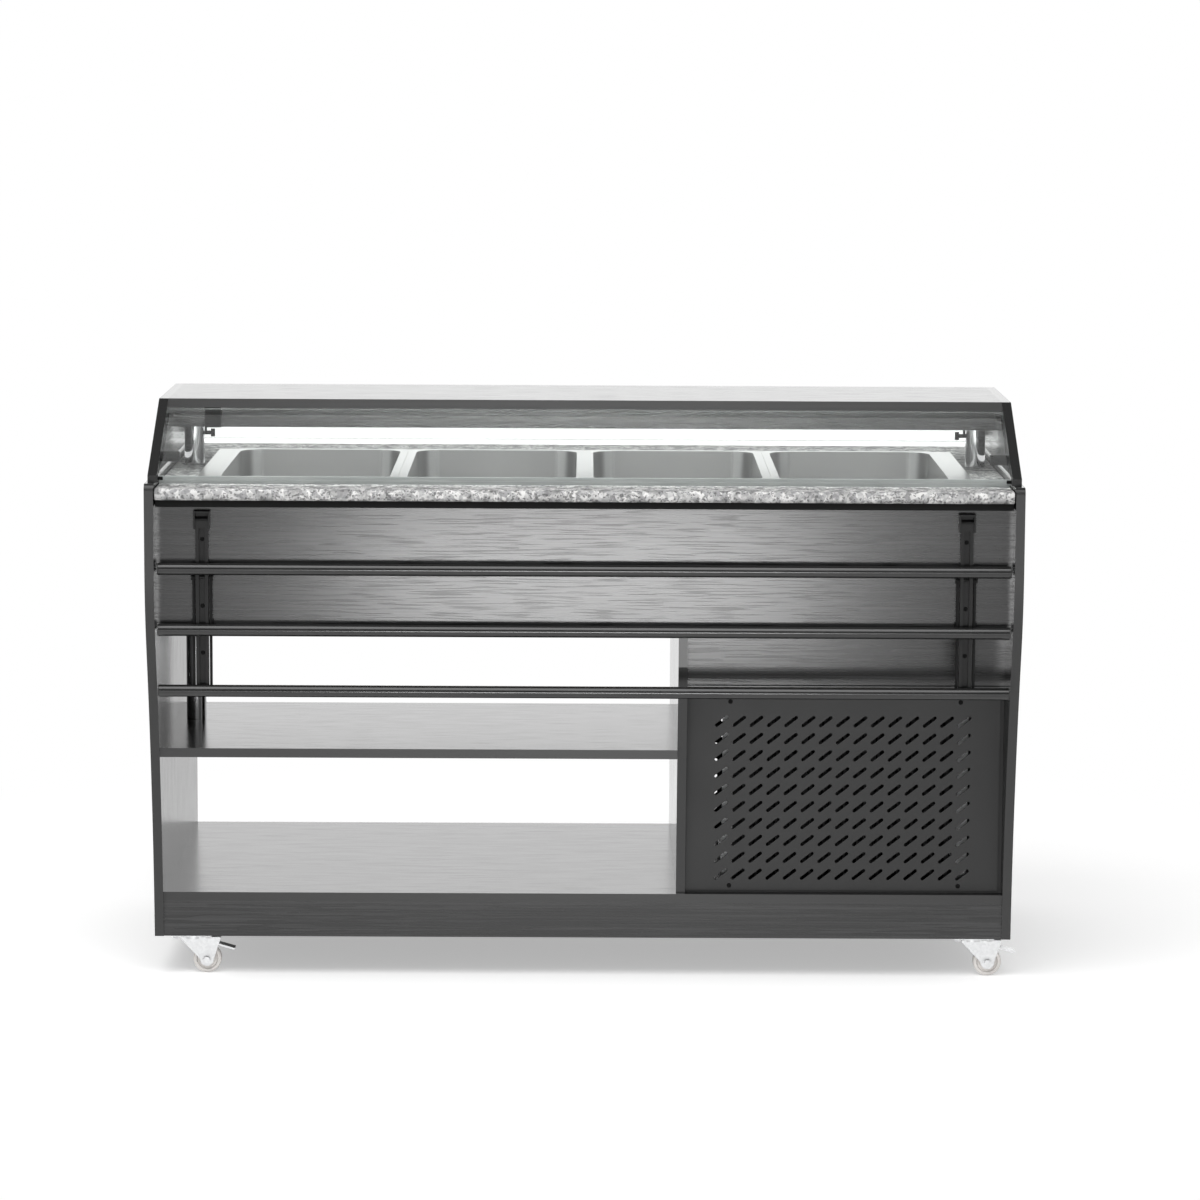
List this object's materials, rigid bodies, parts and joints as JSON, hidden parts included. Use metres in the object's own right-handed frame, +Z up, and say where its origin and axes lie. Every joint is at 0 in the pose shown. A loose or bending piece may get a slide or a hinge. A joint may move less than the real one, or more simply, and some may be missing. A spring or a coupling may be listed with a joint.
{
  "type": "salad bar",
  "caption": "Refrigerated salad bar on castors: dark laminate cabinet with open shelves, stone top, cold well with food pans, lifting glass hood and folding tray slide.",
  "frame": {"origin": "on the floor, under the middle of the cabinet's length and depth", "axes": "+Z up, +X to the customer's right along the counter, -Y the customer side"},
  "size_m": [1.5234, 0.8, 1.013],
  "materials": {
    "laminate": "dark grey wood-grain laminate, semi-gloss",
    "granite": "polished speckled granite",
    "batten": "black painted batten",
    "stainless": "satin stainless",
    "foam": null,
    "copper": "copper tube",
    "drain_plastic": "grey pipe",
    "chrome": "polished",
    "black_plastic": "moulded",
    "black_rubber": "matt",
    "glass": "clear float glass",
    "diffuser": "opal",
    "black_metal": "semi-gloss black",
    "aluminium": "finned",
    "compressor_black": "gloss black",
    "zinc": "bright zinc",
    "nylon": "cream nylon"
  },
  "bodies": {
    "cabinet": {"side_panel_left": "laminate", "side_panel_right": "laminate", "apron_front": "laminate", "apron_rear": "laminate", "mid_shelf": "laminate", "bottom_board": "laminate", "divider": "laminate", "plinth_boards": "laminate", "post_ledge": "laminate", "compartment_fascia": "laminate", "worktop": "granite", "worktop_battens": "batten", "well_basin": "stainless", "pan_bars": "stainless", "unit_tray": "zinc", "well_foam": "foam", "evaporator_tube": "copper", "drain_pipe": "drain_plastic", "post_tubes": "chrome", "tray_brackets": "black_metal", "grille_front": "black_metal", "grille_rear": "black_metal", "condenser": "aluminium", "fan_shroud": "black_metal", "compressor": "compressor_black", "control_panel": "black_plastic", "cord_inlet": "black_plastic", "castor_plates": "zinc"},
    "hood": {"hood_top": "laminate", "hood_side_left": "laminate", "hood_side_right": "laminate", "hood_beams": "laminate", "hood_glass_front": "glass", "hood_glass_rear": "glass", "hood_fittings": "black_rubber", "hood_buffers": "black_rubber", "hood_tubes": "chrome", "light_bar": "diffuser"},
    "clamp_left": {"clamp_screw_left": "black_plastic"},
    "clamp_right": {"clamp_screw_right": "black_plastic"},
    "tray": {"tray_arms": "black_metal", "tray_rails": "black_metal"},
    "stays": {"tray_stays": "black_metal"},
    "fan": {"fan_rotor": "black_plastic"},
    "thermostat": {"thermostat_knob": "black_plastic"},
    "power_switch": {"power_rocker": "black_plastic"},
    "pan_1": {"pan_1": "stainless"},
    "pan_2": {"pan_2": "stainless"},
    "pan_3": {"pan_3": "stainless"},
    "pan_4": {"pan_4": "stainless"},
    "fork_front_left": {"castor_fork_front_left": "zinc"},
    "wheel_front_left": {"castor_wheel_front_left": "nylon"},
    "fork_front_right": {"castor_fork_front_right": "zinc"},
    "wheel_front_right": {"castor_wheel_front_right": "nylon"},
    "fork_rear_left": {"castor_fork_rear_left": "zinc"},
    "wheel_rear_left": {"castor_wheel_rear_left": "nylon"},
    "fork_rear_right": {"castor_fork_rear_right": "zinc"},
    "wheel_rear_right": {"castor_wheel_rear_right": "nylon"},
    "pedal_front_left": {"brake_pedal_front_left": "zinc"},
    "pedal_front_right": {"brake_pedal_front_right": "zinc"}
  },
  "joints": [
    {"name": "hood_lift", "type": "slide", "parent": "cabinet", "child": "hood", "axis": [0, 0, 1], "range_m": [0, 0.35]},
    {"name": "tray_fold", "type": "hinge", "parent": "cabinet", "child": "tray", "pos_m": [0, -0.362, 0.82], "axis": [-1, 0, 0], "range_deg": [0, 90]},
    {"name": "stay_swing", "type": "hinge", "parent": "tray", "child": "stays", "pos_m": [0, -0.362, 0.722], "axis": [-1, 0, 0], "range_deg": [-122.86, 0]},
    {"name": "clamp_left_turn", "type": "hinge", "parent": "cabinet", "child": "clamp_left", "pos_m": [-0.686, 0, 0.935], "axis": [1, 0, 0], "range_deg": [0, 270]},
    {"name": "clamp_right_turn", "type": "hinge", "parent": "cabinet", "child": "clamp_right", "pos_m": [0.686, 0, 0.935], "axis": [-1, 0, 0], "range_deg": [0, 270]},
    {"name": "fan_spin", "type": "hinge", "parent": "cabinet", "child": "fan", "pos_m": [0.4575, -0.13, 0.3205], "axis": [0, 1, 0], "continuous": true},
    {"name": "thermostat_turn", "type": "hinge", "parent": "cabinet", "child": "thermostat", "pos_m": [0.375, 0.37, 0.575], "axis": [0, 1, 0], "range_deg": [0, 270]},
    {"name": "power_press", "type": "hinge", "parent": "cabinet", "child": "power_switch", "pos_m": [0.29, 0.368, 0.575], "axis": [1, 0, 0], "range_deg": [0, 12]},
    {"name": "pan_1_lift", "type": "slide", "parent": "cabinet", "child": "pan_1", "axis": [0, 0, 1], "range_m": [0, 0.045]},
    {"name": "pan_2_lift", "type": "slide", "parent": "cabinet", "child": "pan_2", "axis": [0, 0, 1], "range_m": [0, 0.045]},
    {"name": "pan_3_lift", "type": "slide", "parent": "cabinet", "child": "pan_3", "axis": [0, 0, 1], "range_m": [0, 0.045]},
    {"name": "pan_4_lift", "type": "slide", "parent": "cabinet", "child": "pan_4", "axis": [0, 0, 1], "range_m": [0, 0.045]},
    {"name": "swivel_front_left", "type": "hinge", "parent": "cabinet", "child": "fork_front_left", "pos_m": [-0.692, -0.24088, 0.064], "axis": [0, 0, 1], "continuous": true},
    {"name": "roll_front_left", "type": "hinge", "parent": "fork_front_left", "child": "wheel_front_left", "pos_m": [-0.666, -0.24088, 0.025], "axis": [0, 1, 0], "continuous": true},
    {"name": "swivel_front_right", "type": "hinge", "parent": "cabinet", "child": "fork_front_right", "pos_m": [0.692, -0.24088, 0.064], "axis": [0, 0, 1], "continuous": true},
    {"name": "roll_front_right", "type": "hinge", "parent": "fork_front_right", "child": "wheel_front_right", "pos_m": [0.718, -0.24088, 0.025], "axis": [0, 1, 0], "continuous": true},
    {"name": "swivel_rear_left", "type": "hinge", "parent": "cabinet", "child": "fork_rear_left", "pos_m": [-0.692, 0.33, 0.064], "axis": [0, 0, 1], "continuous": true},
    {"name": "roll_rear_left", "type": "hinge", "parent": "fork_rear_left", "child": "wheel_rear_left", "pos_m": [-0.666, 0.33, 0.025], "axis": [0, 1, 0], "continuous": true},
    {"name": "swivel_rear_right", "type": "hinge", "parent": "cabinet", "child": "fork_rear_right", "pos_m": [0.692, 0.33, 0.064], "axis": [0, 0, 1], "continuous": true},
    {"name": "roll_rear_right", "type": "hinge", "parent": "fork_rear_right", "child": "wheel_rear_right", "pos_m": [0.718, 0.33, 0.025], "axis": [0, 1, 0], "continuous": true},
    {"name": "brake_front_left", "type": "hinge", "parent": "fork_front_left", "child": "pedal_front_left", "pos_m": [-0.663, -0.24088, 0.056], "axis": [0, 1, 0], "range_deg": [0, 8]},
    {"name": "brake_front_right", "type": "hinge", "parent": "fork_front_right", "child": "pedal_front_right", "pos_m": [0.721, -0.24088, 0.056], "axis": [0, 1, 0], "range_deg": [0, 8]}
  ],
  "couplings": [
    {"joint": "stay_swing", "follows": "tray_fold", "ratio": -1.3596}
  ]
}
